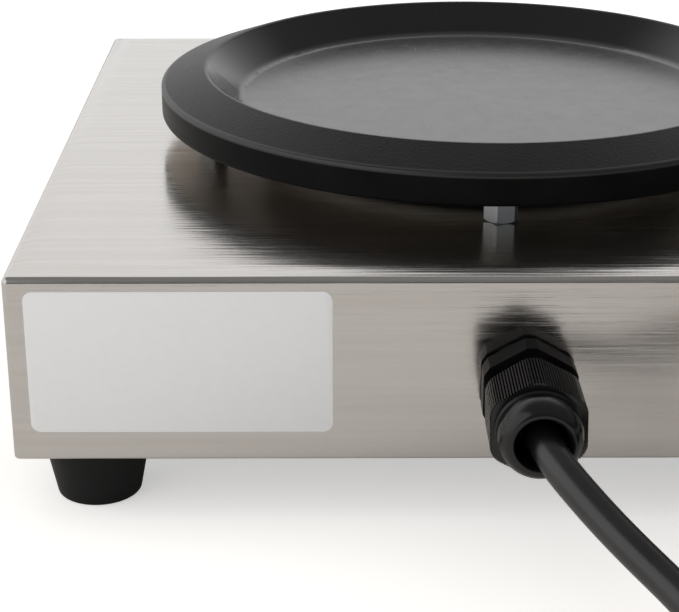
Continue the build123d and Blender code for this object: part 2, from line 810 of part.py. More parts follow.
def coil_point(quarter):
    """The coil's centre line after this many quarter turns, easing through the turn back outwards."""
    past = quarter - quarters_in - 1
    radius = coil_inner_radius + coil_pitch / 4 * (abs(past) - 1)
    height = coil_low if past < 0 else coil_high
    if past == 0:
        radius = coil_inner_radius - coil_pitch / 8
        height = (coil_low + coil_high) / 2
    angle = math.radians(coil_start_angle + 90 * quarter)
    return Vector(coil_centre_x + radius * math.cos(angle), coil_centre_y + radius * math.sin(angle), height)


coil_start = coil_point(0)
start_slope = coil_pitch / (2 * math.pi * coil_outer_radius)
coil_heading = Vector(-1, -start_slope, 0).normalized()
coil_lead = coil_start - coil_heading * cord_diameter
quarters_all = quarters_in + climb_quarter_count + quarters_out
with BuildPart() as cord_coil:
    with BuildLine() as winding:
        Line(coil_lead, coil_start)
        arc = TangentArc(coil_start, coil_point(1), tangent=coil_heading)
        for quarter in range(2, quarters_all + 1):
            arc = TangentArc(arc @ 1, coil_point(quarter), tangent=arc % 1)
        coil_tail = arc @ 1 + (arc % 1) * coil_run_out
        Line(arc @ 1, coil_tail)
    with BuildSketch(Plane(origin=coil_lead, z_dir=coil_heading)):
        Circle(cord_radius)
    sweep(path=winding.wire())
finish(cord_coil, "cord_coil")
tail_heading = arc % 1
coil_length = winding.wire().length
coil_ratio = cord_coil.part.volume / (coil_length * math.pi * cord_radius**2)
print("cord_coil length", round(coil_length, 1), "volume over section", round(coil_ratio, 4))

# Least gap of the coil to itself, measured on points a few millimetres apart
samples = [winding.wire() @ (step / 600) for step in range(601)]
reach = math.ceil(3 * cord_diameter / (coil_length / 600))
gap = min(
    (samples[one] - samples[other]).length
    for one in range(601)
    for other in range(one + reach, 601)
)
print("cord_coil least gap to itself", round(gap - cord_diameter, 2))

# Free cord: out of the gland, down to the floor and along it to the coil
cord_route = [
    (gland_x, sheath_end, gland_z),
    (gland_x, sheath_end + cord_straight, gland_z),
    (gland_x - 1.0, sheath_end + 9.1, gland_z - 0.9),
    (gland_x - 3.2, sheath_end + 14.3, gland_z - 2.9),
    (gland_x - 9.4, sheath_end + 21.5, gland_z - 8.0),
    (gland_x - 15.2, sheath_end + 28.3, gland_z - 11.9),
    (gland_x - 21.4, sheath_end + 35.3, gland_z - 15.6),
    (gland_x - 28.0, sheath_end + 44.7, gland_z - 19.8),
    (-38.8, 172.6, 6.8),
    (-48.0, 186.0, 4.4),
    (-61.0, 198.6, coil_low),
    (-78.0, 207.4, coil_low),
    tuple(coil_lead - coil_heading * coil_run_in),
    tuple(coil_lead),
]
free_length = routed_tube(cord_route, cord_diameter, "power_cord")
cord_length = free_length + coil_length
print("cord length outside the gland's seal", round(cord_length, 1))

# Tie round the coil's bundle of turns, on the side away from the cord's way in
coil_centre = Vector(coil_centre_x, coil_centre_y, 0)
tie_radii = []
for quarter in range(2, quarters_all + 1, 4):
    spoke = coil_point(quarter) - coil_centre
    tie_radii.append(math.hypot(spoke.X, spoke.Y))
tie_inside = min(tie_radii) - cord_radius - tie_gap
tie_outside = max(tie_radii) + cord_radius + tie_gap
tie_top = coil_high + cord_radius + tie_gap
tie_opening = cord_radius - tie_gap
with BuildPart() as coil_tie:
    with BuildSketch(Plane.YZ.offset(coil_centre_x - tie_width / 2)):
        with Locations((coil_centre_y - (tie_inside + tie_outside) / 2, (tie_top + tie_thickness) / 2)):
            RectangleRounded(
                tie_outside - tie_inside + 2 * tie_thickness,
                tie_top + tie_thickness,
                tie_opening + tie_thickness,
            )
        with Locations((coil_centre_y - (tie_inside + tie_outside) / 2, (tie_top + tie_thickness) / 2)):
            RectangleRounded(
                tie_outside - tie_inside,
                tie_top - tie_thickness,
                tie_opening,
                mode=Mode.SUBTRACT,
            )
    extrude(amount=tie_width)
finish(coil_tie, "coil_tie")

# Moulded plug at the end of the coil: ribbed strain relief, shoulders and a flat face
plug_side = tail_heading.cross(Vector(0, 0, 1)).normalized()


def plug_plane(along):
    """A plane across the plug, this far on from the end of the cord."""
    return Plane(origin=coil_tail + tail_heading * along, x_dir=plug_side, z_dir=tail_heading)


plug_face = relief_length + plug_shoulder + plug_length
relief_profile = Plane(origin=coil_tail, x_dir=tail_heading, z_dir=plug_side)
relief_step = relief_length / (relief_groove_count + 1)
with BuildPart() as plug_body:
    with BuildSketch(plug_plane(relief_length)):
        RectangleRounded(plug_waist_width, plug_waist_height, plug_corner_radius)
    with BuildSketch(plug_plane(relief_length + plug_shoulder)):
        RectangleRounded(plug_width, plug_height, plug_corner_radius)
    loft()
    with BuildSketch(plug_plane(relief_length + plug_shoulder)):
        RectangleRounded(plug_width, plug_height, plug_corner_radius)
    extrude(amount=plug_length)
    fillet(plug_body.faces().sort_by(Axis(coil_tail, tail_heading))[-1].edges(), plug_corner_radius / 4)
    with BuildSketch(relief_profile):
        with BuildLine():
            Polyline(
                (0, 0),
                (0, relief_thin_radius),
                (relief_length, relief_thick_radius),
                (relief_length, 0),
                close=True,
            )
        make_face()
        for groove in range(1, relief_groove_count + 1):
            with Locations((groove * relief_step, relief_thick_radius)):
                Rectangle(
                    relief_groove_width,
                    2 * (relief_thick_radius - relief_thin_radius + relief_groove_depth),
                    mode=Mode.SUBTRACT,
                )
    revolve(axis=Axis(coil_tail, tail_heading))
finish(plug_body, "plug_body")

with BuildPart() as plug_blades:
    with BuildSketch(plug_plane(plug_face)):
        with Locations((-blade_spacing / 2, blade_rise), (blade_spacing / 2, blade_rise)):
            Rectangle(blade_thickness, blade_width)
    extrude(amount=blade_length)
    across = plug_blades.edges().filter_by(Axis((0, 0, 0), plug_side))
    corner_edges = across.group_by(Axis(coil_tail, tail_heading))[-1]
    fillet(corner_edges, blade_tip_radius)
finish(plug_blades, "plug_blades")

with BuildPart() as plug_earth_pin:
    with BuildSketch(plug_plane(plug_face)):
        with Locations((0, blade_rise - earth_pin_drop)):
            Circle(earth_pin_radius)
    extrude(amount=earth_pin_length)
    pin_tip = plug_earth_pin.edges().filter_by(GeomType.CIRCLE).group_by(Axis(coil_tail, tail_heading))[-1]
    fillet(pin_tip, earth_pin_radius * 0.8)
finish(plug_earth_pin, "plug_earth_pin")

# Push-on connectors with their slots over the spade tabs
switch_tab_end = switch_back + terminal_length
connector_start = switch_tab_end - connector_grip
connector_end = connector_start + connector_length
with BuildPart() as switch_connectors:
    for height in terminal_heights:
        with BuildSketch(Plane.XZ.offset(-connector_start)):
            with Locations((0, height)):
                RectangleRounded(small_connector_width, connector_thickness, connector_thickness / 4)
        extrude(amount=-connector_length)
        with BuildSketch(Plane.XZ.offset(-connector_start)):
            with Locations((0, height)):
                Rectangle(terminal_width + 2 * slot_gap, terminal_thickness + 2 * slot_gap)
        extrude(amount=-connector_grip - slot_gap, mode=Mode.SUBTRACT)
finish(switch_connectors, "switch_connectors")

heater_tab_end = heater_bottom - heater_tab_length
thermostat_tab_end = thermostat_bottom - thermostat_tab_length
with BuildPart() as heater_connectors:
    for places, tab_end in ((heater_tab_places, heater_tab_end), (thermostat_tab_places, thermostat_tab_end)):
        with BuildSketch(Plane.XY.offset(tab_end + connector_grip)):
            with Locations(*places):
                RectangleRounded(connector_width, connector_thickness, connector_thickness / 4)
        extrude(amount=-connector_length)
        with BuildSketch(Plane.XY.offset(tab_end + connector_grip)):
            with Locations(*places):
                Rectangle(tab_width + 2 * slot_gap, tab_thickness + 2 * slot_gap)
        extrude(amount=-connector_grip - slot_gap, mode=Mode.SUBTRACT)
finish(heater_connectors, "heater_connectors")

# Earth stud on the base, ring terminal and nut
ring_seat = base_top
barrel_axis = ring_seat + barrel_radius
with BuildPart() as earth_stud:
    with BuildSketch(Plane.XY.offset(base_top)):
        with Locations((earth_stud_x, earth_stud_y)):
            Circle(earth_stud_radius)
    extrude(amount=earth_stud_length)
finish(earth_stud, "earth_stud")

barrel_start = earth_stud_x + barrel_offset
with BuildPart() as earth_ring:
    with BuildSketch(Plane.XY.offset(ring_seat)):
        with Locations((earth_stud_x, earth_stud_y)):
            Circle(ring_radius)
        with Locations((earth_stud_x + (barrel_offset + barrel_length) / 2, earth_stud_y)):
            Rectangle(barrel_offset + barrel_length, 2 * barrel_radius)
        with Locations((earth_stud_x, earth_stud_y)):
            Circle(earth_stud_radius + hole_gap, mode=Mode.SUBTRACT)
    extrude(amount=ring_sheet)
    with BuildSketch(Plane.YZ.offset(barrel_start)):
        with Locations((earth_stud_y, barrel_axis)):
            Circle(barrel_radius)
    extrude(amount=barrel_length)
finish(earth_ring, "earth_ring")

with BuildPart() as earth_nut:
    with BuildSketch(Plane.XY.offset(ring_seat + ring_sheet)):
        with Locations((earth_stud_x, earth_stud_y)):
            RegularPolygon(earth_nut_flats / 2, 6, major_radius=False)
            Circle(earth_stud_radius + thread_gap, mode=Mode.SUBTRACT)
    extrude(amount=earth_nut_height)
finish(earth_nut, "earth_nut")

# Wires inside the case, from end to end of their connectors
heater_wire_end = heater_tab_end + connector_grip - connector_length
thermostat_wire_end = thermostat_tab_end + connector_grip - connector_length
core_top = gland_z + core_rise
neutral_tab_y = heater_tab_places[0][1]
link_tab_y = heater_tab_places[1][1]
wire_routes = {
    "live_wire": [
        (gland_x + core_spread, sheath_start, core_top),
        (gland_x + core_spread, sheath_start - 10, core_top),
        (8, 62, 26),
        (30, 40, 22),
        (40, 4, 20),
        (32, -34, 22),
        (10, -54, 29),
        (0, connector_end + 8, switch_z),
        (0, connector_end, switch_z),
    ],
    "neutral_wire": [
        (gland_x - core_spread, sheath_start, core_top),
        (gland_x - core_spread, sheath_start - 10, core_top),
        (-12, 60, 25),
        (-28, 36, 20),
        (-32, 8, 19),
        (-22, neutral_tab_y + 2, 22),
        (heater_tab_x + 2, neutral_tab_y, 31),
        (heater_tab_x + 2, neutral_tab_y, heater_wire_end),
    ],
    "switched_wire": [
        (0, connector_end, terminal_heights[0]),
        (0, connector_end + 8, terminal_heights[0]),
        (4, -46, 23),
        (12, -28, 19),
        (thermostat_x, -14, 18),
        (thermostat_x, -thermostat_tab_spacing / 2, 22),
        (thermostat_x, -thermostat_tab_spacing / 2, thermostat_wire_end),
    ],
    "link_wire": [
        (thermostat_x, thermostat_tab_spacing / 2, thermostat_wire_end),
        (thermostat_x, thermostat_tab_spacing / 2, 21),
        (10, 8, 17.5),
        (-4, link_tab_y + 2, 19),
        (heater_tab_x, link_tab_y, 28),
        (heater_tab_x, link_tab_y, heater_wire_end),
    ],
    "lamp_wire": [
        (0, connector_end, terminal_heights[2]),
        (0, connector_end + 8, terminal_heights[2]),
        (-8, -46, 36),
        (-16, -32, 31),
        (-20, -18, 29),
        (heater_tab_x - 2, neutral_tab_y, 33),
        (heater_tab_x - 2, neutral_tab_y, heater_wire_end),
    ],
    "earth_wire": [
        (gland_x, sheath_start, gland_z - core_drop),
        (gland_x, sheath_start - 8, gland_z - core_drop),
        (-7, 68, 23),
        (-15, earth_stud_y + 1, 18.6),
        (barrel_start + barrel_length + 7, earth_stud_y, barrel_axis),
        (barrel_start + barrel_length, earth_stud_y, barrel_axis),
    ],
}
for wire_name, wire_route in wire_routes.items():
    routed_tube(wire_route, wire_diameter, wire_name)
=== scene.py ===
"""Looks of the decanter warmer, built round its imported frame. Metres, +Z up, the cord leaves towards +Y."""
import math

import bmesh
import bpy
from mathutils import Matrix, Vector


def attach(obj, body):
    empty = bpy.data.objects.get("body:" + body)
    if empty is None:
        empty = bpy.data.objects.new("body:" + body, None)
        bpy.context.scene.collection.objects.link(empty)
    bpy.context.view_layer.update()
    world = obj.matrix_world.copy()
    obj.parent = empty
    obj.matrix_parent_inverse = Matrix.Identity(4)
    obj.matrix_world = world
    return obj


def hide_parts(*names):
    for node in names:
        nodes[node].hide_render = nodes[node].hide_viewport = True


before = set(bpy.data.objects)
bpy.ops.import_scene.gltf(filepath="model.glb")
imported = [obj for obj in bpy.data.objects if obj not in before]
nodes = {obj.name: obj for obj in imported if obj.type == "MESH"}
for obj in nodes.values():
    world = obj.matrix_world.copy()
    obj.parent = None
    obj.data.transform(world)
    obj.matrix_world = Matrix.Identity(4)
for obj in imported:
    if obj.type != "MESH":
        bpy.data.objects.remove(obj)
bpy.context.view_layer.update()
MM = 0.001
MICRON = 0.000001

# Camera, fitted to the straight edges and circles of the photo
camera_data = bpy.data.cameras.new("photo_camera")
camera_data.lens = 93.49
camera_data.sensor_width = 36.0
camera = bpy.data.objects.new("photo_camera", camera_data)
camera.location = (0.03557, 0.4157, 0.1785)
camera.rotation_euler = (math.radians(67.637), 0, math.radians(179.744))
bpy.context.scene.collection.objects.link(camera)
bpy.context.scene.camera = camera
bpy.context.scene.view_settings.view_transform = "Standard"

# Cord: the route of the free length, then the wound coil, in millimetres as in the part's source
cord_diameter = 6.6
gland_axis_x = -3.2
gland_axis_z = 31.0
rear_face = 97.5
seal_end = 115.5
floor_layer = 4.6
coil_pitch = 7.4
coil_centre = (-125.0, 160.0)
coil_inner_radius = 27.8
quarters_in = 12
quarters_all = 25
points_per_quarter = 6
cord_route = [
    (gland_axis_x, seal_end, gland_axis_z),
    (gland_axis_x, seal_end + 4.0, gland_axis_z),
    (gland_axis_x - 1.0, seal_end + 9.1, gland_axis_z - 0.9),
    (gland_axis_x - 3.2, seal_end + 14.3, gland_axis_z - 2.9),
    (gland_axis_x - 9.4, seal_end + 21.5, gland_axis_z - 8.0),
    (gland_axis_x - 15.2, seal_end + 28.3, gland_axis_z - 11.9),
    (gland_axis_x - 21.4, seal_end + 35.3, gland_axis_z - 15.6),
    (gland_axis_x - 28.0, seal_end + 44.7, gland_axis_z - 19.8),
    (-38.8, 172.6, 6.8),
    (-48.0, 186.0, 4.4),
    (-61.0, 198.6, floor_layer),
    (-78.0, 207.4, floor_layer),
    (-98.4, 210.6, floor_layer),
    (-118.4, 210.2, floor_layer),
]


def coil_point(quarter):
    """Middle of the coiled cord after so many quarter turns: in along the floor, up a layer, and out."""
    past = quarter - quarters_in - 1
    step_up = max(-1.0, min(1.0, past))
    if abs(past) < 1:
        radius = coil_inner_radius - coil_pitch / 8 * (1 - past * past)
    else:
        radius = coil_inner_radius + coil_pitch / 4 * (abs(past) - 1)
    height = floor_layer + coil_pitch / 2 * (1 + math.sin(math.pi / 2 * step_up))
    angle = math.radians(90 + 90 * quarter)
    return (
        coil_centre[0] + radius * math.cos(angle),
        coil_centre[1] + radius * math.sin(angle),
        height,
    )


for count in range(quarters_all * points_per_quarter + 1):
    cord_route.append(coil_point(count / points_per_quarter))
coil_end = cord_route[-1]
for aside, along in ((0.2, 9), (0.4, 18), (0.5, 22)):
    cord_route.append((coil_end[0] - aside, coil_end[1] - along, coil_end[2]))

cord_curve = bpy.data.curves.new("mains_cord", "CURVE")
cord_curve.dimensions = "3D"
cord_line = cord_curve.splines.new("NURBS")
cord_line.points.add(len(cord_route) - 1)
for point, place in zip(cord_line.points, cord_route):
    point.co = (place[0] * MM, place[1] * MM, place[2] * MM, 1)
    point.radius = MM
cord_line.order_u = 3
cord_line.use_endpoint_u = True
cord_line.resolution_u = 5
cord_curve.bevel_depth = cord_diameter / 2
cord_curve.bevel_resolution = 8
cord_curve.use_fill_caps = True
mains_cord = bpy.data.objects.new("mains_cord", cord_curve)
bpy.context.scene.collection.objects.link(mains_cord)
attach(mains_cord, "case")
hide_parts("power_cord", "cord_coil")

# Stage: a pale floor just under the feet
floor_size = 6
floor_gap = 0.00005
bpy.ops.object.select_all(action="DESELECT")
bpy.ops.mesh.primitive_plane_add(size=floor_size, location=(0, 0, -floor_gap))
floor = bpy.context.active_object
floor.name = "studio_floor"
bpy.ops.object.transform_apply(location=True, rotation=True, scale=True)


# Shader nodes in short form
def put(tree, kind, **settings):
    """Adds a node. A setting is a property, an input's value, or an output to link to that input.

    An input goes by its name or by its number, as in i0.
    """
    node = tree.nodes.new(kind)
    sockets = {}
    for key, value in settings.items():
        if hasattr(node, key):
            setattr(node, key, value)
        else:
            sockets[key] = value
    for key, value in sockets.items():
        numbered = key[0] == "i" and key[1:].isdigit()
        spot = node.inputs[int(key[1:])] if numbered else node.inputs[key]
        if isinstance(value, bpy.types.NodeSocket):
            tree.links.new(value, spot)
        else:
            spot.default_value = value
    return node


def calc(tree, operation, first, second=0.0):
    """A Math node's output."""
    return put(tree, "ShaderNodeMath", operation=operation, i0=first, i1=second).outputs[0]


def times(tree, first, second):
    """Two values multiplied."""
    return calc(tree, "MULTIPLY", first, second)


def plus(tree, first, second):
    """Two values added."""
    return calc(tree, "ADD", first, second)


def larger(tree, first, second):
    """The larger of two values."""
    return calc(tree, "MAXIMUM", first, second)


def rest_of(tree, share):
    """What a share leaves of 1."""
    return calc(tree, "SUBTRACT", 1.0, share)


def between(tree, share, first, second):
    """A value between two, by a share from 0 to 1."""
    return plus(tree, times(tree, first, rest_of(tree, share)), times(tree, second, share))


def spread(tree, value, low, high, to_low=0.0, to_high=1.0):
    """A value mapped from one range to another and held at its ends."""
    given = {"Value": value, "From Min": low, "From Max": high, "To Min": to_low, "To Max": to_high}
    return put(tree, "ShaderNodeMapRange", **given).outputs[0]


def tint(tree, share, first, second):
    """A colour between two, by a share from 0 to 1."""
    first, second = [end if isinstance(end, bpy.types.NodeSocket) else (*end, 1) for end in (first, second)]
    return put(tree, "ShaderNodeMix", data_type="RGBA", i0=share, i6=first, i7=second).outputs[2]


def vector_between(tree, share, first, second):
    """A vector between two, by a share from 0 to 1."""
    return put(tree, "ShaderNodeMix", data_type="VECTOR", i0=share, i4=first, i5=second).outputs[1]


def surface_part(tree, kind, axis):
    """One axis of a surface's Object place or of its Normal."""
    whole = put(tree, "ShaderNodeTexCoord").outputs[kind]
    return put(tree, "ShaderNodeSeparateXYZ", Vector=whole).outputs[axis]


def distance_from_axis(tree):
    """Distance of a surface from the upright axis through the middle of the plate."""
    squares = [calc(tree, "POWER", surface_part(tree, "Object", axis), 2) for axis in "XY"]
    return calc(tree, "SQRT", plus(tree, *squares))


# The floor keeps the object's shadow and is lifted to white for the camera, less so near the object
floor_paint = bpy.data.materials.new("studio_floor")
floor_paint.use_nodes = True
tree = floor_paint.node_tree
tree.nodes.clear()
seen = put(tree, "ShaderNodeLightPath").outputs["Is Camera Ray"]
place = put(tree, "ShaderNodeTexCoord").outputs["Object"]
floor_matt = put(tree, "ShaderNodeBsdfDiffuse", Color=(0.80, 0.77, 0.735, 1))
from_middle = put(tree, "ShaderNodeVectorMath", operation="LENGTH", i0=place).outputs["Value"]
lift = spread(tree, from_middle, 0.25, 1.3, 0.46, 1.0)
floor_lift = put(tree, "ShaderNodeEmission", Strength=times(tree, seen, lift))
floor_sum = put(tree, "ShaderNodeAddShader", i0=floor_matt.outputs[0], i1=floor_lift.outputs[0])
put(tree, "ShaderNodeOutputMaterial", Surface=floor_sum.outputs[0])
floor.data.materials.append(floor_paint)

# Surroundings: white to the camera, an even fill, and for shiny surfaces pale areas in a dark room
world = bpy.data.worlds.new("studio")
bpy.context.scene.world = world
world.use_nodes = True
tree = world.node_tree
tree.nodes.clear()
rays = put(tree, "ShaderNodeLightPath").outputs
heading = put(tree, "ShaderNodeTexCoord").outputs["Generated"]
rise = put(tree, "ShaderNodeSeparateXYZ", Vector=heading).outputs["Z"]
sweep_way = (0.52, -0.85, 0.0)
softbox_way = (0.87, 0.36, 0.33)
fill_strength = 0.62


def towards(way):
    """How far a heading of the world points this way."""
    return put(tree, "ShaderNodeVectorMath", operation="DOT_PRODUCT", i0=heading, i1=way).outputs["Value"]


sweep_shape = times(tree, spread(tree, towards(sweep_way), 0.0, 0.58), spread(tree, rise, 0.86, 0.62))
sweep = spread(tree, sweep_shape, 0.0, 1.0, 0.06, 1.0)
front_card = times(tree, spread(tree, rise, 0.16, 0.26, 0.0, 0.22), spread(tree, rise, 0.72, 0.55))
ceiling = spread(tree, rise, 0.50, 0.70, 0.0, 0.25)
softbox_front = spread(tree, towards(softbox_way), 0.70, 0.80)
shine = larger(tree, larger(tree, sweep, front_card), larger(tree, ceiling, softbox_front))
mirrored = larger(tree, rays["Is Glossy Ray"], rays["Is Transmission Ray"])
shown = larger(tree, rays["Is Camera Ray"], times(tree, mirrored, shine))
fill = times(tree, rest_of(tree, larger(tree, mirrored, rays["Is Camera Ray"])), fill_strength)
backdrop = put(tree, "ShaderNodeBackground", Color=(1, 1, 1, 1), Strength=plus(tree, shown, fill))
put(tree, "ShaderNodeOutputWorld", Surface=backdrop.outputs[0])


def soft_lamp(name, place, aim, width, height, power):
    """A flat soft lamp turned to a point; shiny surfaces mirror the world's pale areas in its stead."""
    lamp = bpy.data.lights.new(name, "AREA")
    lamp.shape = "RECTANGLE"
    lamp.size = width
    lamp.size_y = height
    lamp.energy = power
    holder = bpy.data.objects.new(name, lamp)
    holder.location = place
    holder.rotation_euler = (Vector(aim) - Vector(place)).to_track_quat("-Z", "Y").to_euler()
    holder.visible_glossy = False
    bpy.context.scene.collection.objects.link(holder)


soft_lamp("left_softbox", (1.70, 0.70, 0.70), (0.0, 0.04, 0.04), 3.3, 1.75, 26.5)
soft_lamp("upper_card", (0.55, 0.05, 0.90), (0.0, 0.0, 0.05), 0.70, 0.70, 0.9)


# Finishes: shared effects as node groups
def new_group(name, inputs, outputs):
    """An empty shader group with number sockets."""
    group = bpy.data.node_groups.new(name, "ShaderNodeTree")
    for label, value in inputs:
        socket = group.interface.new_socket(label, in_out="INPUT", socket_type="NodeSocketFloat")
        socket.default_value = value
    for label in outputs:
        group.interface.new_socket(label, in_out="OUTPUT", socket_type="NodeSocketFloat")
    start = group.nodes.new("NodeGroupInput")
    end = group.nodes.new("NodeGroupOutput")
    return group, start.outputs, end.inputs


def noise(tree, vector, scale, detail=3.0, roughness=0.55):
    """A noise texture's value."""
    node = put(tree, "ShaderNodeTexNoise", Vector=vector, Scale=scale, Detail=detail, Roughness=roughness)
    return node.outputs[0]


# Fine grain and slow mottling of a moulded, rubber or plated surface
surface_grain, group_in, group_out = new_group("surface_grain", [("Scale", 2500.0)], ["Grain", "Mottle"])
place = put(surface_grain, "ShaderNodeTexCoord").outputs["Object"]
slow_scale = times(surface_grain, group_in["Scale"], 0.055)
surface_grain.links.new(noise(surface_grain, place, group_in["Scale"], 4.0), group_out["Grain"])
surface_grain.links.new(noise(surface_grain, place, slow_scale, 3.0), group_out["Mottle"])

# Brushing: lines along X on the top, front and rear, folded down along Z on the two side walls
brushing, group_in, group_out = new_group(
    "brushing", [("Across", 2600.0), ("Along", 9.0)], ["Lines", "Streaks", "Furrows", "Side"]
)
across, along = group_in["Across"], group_in["Along"]
sideways = calc(brushing, "ABSOLUTE", surface_part(brushing, "Normal", "X"))
side_wall = calc(brushing, "GREATER_THAN", sideways, 0.72)
flat_scale = put(brushing, "ShaderNodeCombineXYZ", X=along, Y=across, Z=across).outputs[0]
wall_scale = put(brushing, "ShaderNodeCombineXYZ", X=across, Y=across, Z=along).outputs[0]
line_scale = vector_between(brushing, side_wall, flat_scale, wall_scale)
place = put(brushing, "ShaderNodeTexCoord").outputs["Object"]
line_place = put(brushing, "ShaderNodeVectorMath", operation="MULTIPLY", i0=place, i1=line_scale).outputs[0]
brushing.links.new(noise(brushing, line_place, 1.0, 5.0, 0.7), group_out["Lines"])
brushing.links.new(noise(brushing, line_place, 0.17, 3.0, 0.6), group_out["Streaks"])
brushing.links.new(noise(brushing, line_place, 0.52, 0.0), group_out["Furrows"])
brushing.links.new(side_wall, group_out["Side"])

# Turned lines round +Z, by distance from the axis and by height
turning, group_in, group_out = new_group("turning", [("Across", 2600.0)], ["Lines"])
ring_place = put(
    turning, "ShaderNodeCombineXYZ", X=distance_from_axis(turning), Y=surface_part(turning, "Object", "Z")
).outputs[0]
turning.links.new(noise(turning, ring_place, group_in["Across"], 3.0, 0.6), group_out["Lines"])

# Dust, sparse
specks, group_in, group_out = new_group("specks", [("Scale", 900.0), ("Amount", 0.05)], ["Mask"])
place = put(specks, "ShaderNodeTexCoord").outputs["Object"]
cells = put(specks, "ShaderNodeTexVoronoi", Vector=place, Scale=group_in["Scale"])
chosen = put(specks, "ShaderNodeSeparateColor", Color=cells.outputs["Color"]).outputs[0]
kept_cell = calc(specks, "LESS_THAN", chosen, group_in["Amount"])
dot = calc(specks, "LESS_THAN", cells.outputs["Distance"], 0.22)
specks.links.new(times(specks, kept_cell, dot), group_out["Mask"])


def new_finish(name, **sockets):
    """A material with one Principled shader; values that are the same all over go on its own sockets."""
    material = bpy.data.materials.new(name)
    material.use_nodes = True
    tree = material.node_tree
    tree.nodes.clear()
    shader = put(tree, "ShaderNodeBsdfPrincipled", **sockets)
    put(tree, "ShaderNodeOutputMaterial", Surface=shader.outputs[0])
    return material, tree, shader


def effect(tree, group, **values):
    """A shared effect's outputs, with these values."""
    return put(tree, "ShaderNodeGroup", node_tree=group, **values).outputs


def link(tree, value, shader, socket):
    """Feeds a shader's socket."""
    tree.links.new(value, shader.inputs[socket])


def bump(tree, height, depth, strength=1.0):
    """A normal from a height, whose full range is this deep in metres."""
    return put(tree, "ShaderNodeBump", Height=height, Distance=depth, Strength=strength).outputs[0]


def grained(name, dark, light, rough, scale, depth, sockets):
    """A moulded, rubber, plated or painted finish: mottled colour and gloss, and a fine grain."""
    material, tree, shader = new_finish(name, **sockets)
    grain = effect(tree, surface_grain, Scale=scale)
    share = spread(tree, grain["Mottle"], 0.3, 0.7)
    link(tree, tint(tree, share, dark, light), shader, "Base Color")
    uneven = plus(tree, times(tree, grain["Grain"], 0.4), times(tree, share, 0.6))
    link(tree, spread(tree, uneven, 0.1, 0.9, *rough), shader, "Roughness")
    link(tree, bump(tree, grain["Grain"], depth), shader, "Normal")
    return material


# Brushed stainless steel of the case: fine lines, slow streaks, scratches painted paler as a glint, deeper
# furrows on the top
brushed_steel, tree, shader = new_finish("brushed_steel", Metallic=1.0, Anisotropic=0.45)
lines = effect(tree, brushing, Across=3300.0, Along=60.0)
hairs = effect(tree, brushing, Across=4600.0, Along=24.0)
blotches = effect(tree, surface_grain, Scale=420.0)["Mottle"]
scratches = spread(tree, hairs["Lines"], 0.57, 0.70)
streaks = spread(tree, lines["Streaks"], 0.35, 0.65)
steel_colour = tint(tree, streaks, (0.600, 0.575, 0.550), (0.640, 0.618, 0.594))
# The scratches are real in roughness and bump; their paler colour is a painted glint
glinting_scratch_colour = tint(tree, times(tree, scratches, 0.35), steel_colour, (0.72, 0.70, 0.68))
link(tree, glinting_scratch_colour, shader, "Base Color")
line_rough = spread(tree, lines["Lines"], 0.3, 0.7, 0.11, 0.18)
blotch_rough = spread(tree, blotches, 0.35, 0.7, 0.0, 0.03)
scratch_rough = times(tree, scratches, 0.10)
link(tree, plus(tree, plus(tree, line_rough, blotch_rough), scratch_rough), shader, "Roughness")
line_height = plus(tree, times(tree, lines["Lines"], 0.5), times(tree, scratches, 0.5))
furrow_depth = spread(tree, surface_part(tree, "Normal", "Z"), 0.5, 0.9, 0.5, 2.4)
furrowed = plus(tree, line_height, times(tree, lines["Furrows"], furrow_depth))
link(tree, bump(tree, furrowed, 30 * MICRON, 0.42), shader, "Normal")
facing = put(tree, "ShaderNodeTexCoord").outputs["Normal"]
across_lines = put(tree, "ShaderNodeVectorMath", operation="CROSS_PRODUCT", i0=facing, i1=(1, 0, 0))
link(tree, vector_between(tree, lines["Side"], across_lines.outputs[0], (0, 1, 0)), shader, "Tangent")

# Black coat of the cast plate: turned side, pebbled slope, glossy wall, satin well, a lighter lip line that
# is partly wear and partly a painted highlight, bare below
plate_coat, tree, shader = new_finish("plate_coat", IOR=1.62)
from_axis = distance_from_axis(tree)
level = surface_part(tree, "Object", "Z")
on_side = spread(tree, from_axis, 0.0757, 0.0761)
above = spread(tree, level, 0.0612, 0.0620)
underneath = times(tree, rest_of(tree, above), rest_of(tree, on_side))
in_well = times(tree, spread(tree, from_axis, 0.0588, 0.0572), above)
in_lip = times(tree, spread(tree, from_axis, 0.0664, 0.0652), above)
in_wall = calc(tree, "SUBTRACT", in_lip, in_well)
on_slope = times(tree, spread(tree, from_axis, 0.0655, 0.0663), rest_of(tree, on_side))
rim_edge = times(tree, spread(tree, from_axis, 0.0754, 0.0757), spread(tree, level, 0.0665, 0.0668))
turned_lines = effect(tree, turning, Across=2300.0)["Lines"]
pebble = effect(tree, surface_grain, Scale=1750.0)
fine = effect(tree, surface_grain, Scale=4200.0)
dust = effect(tree, specks, Scale=900.0, Amount=0.0015)["Mask"]
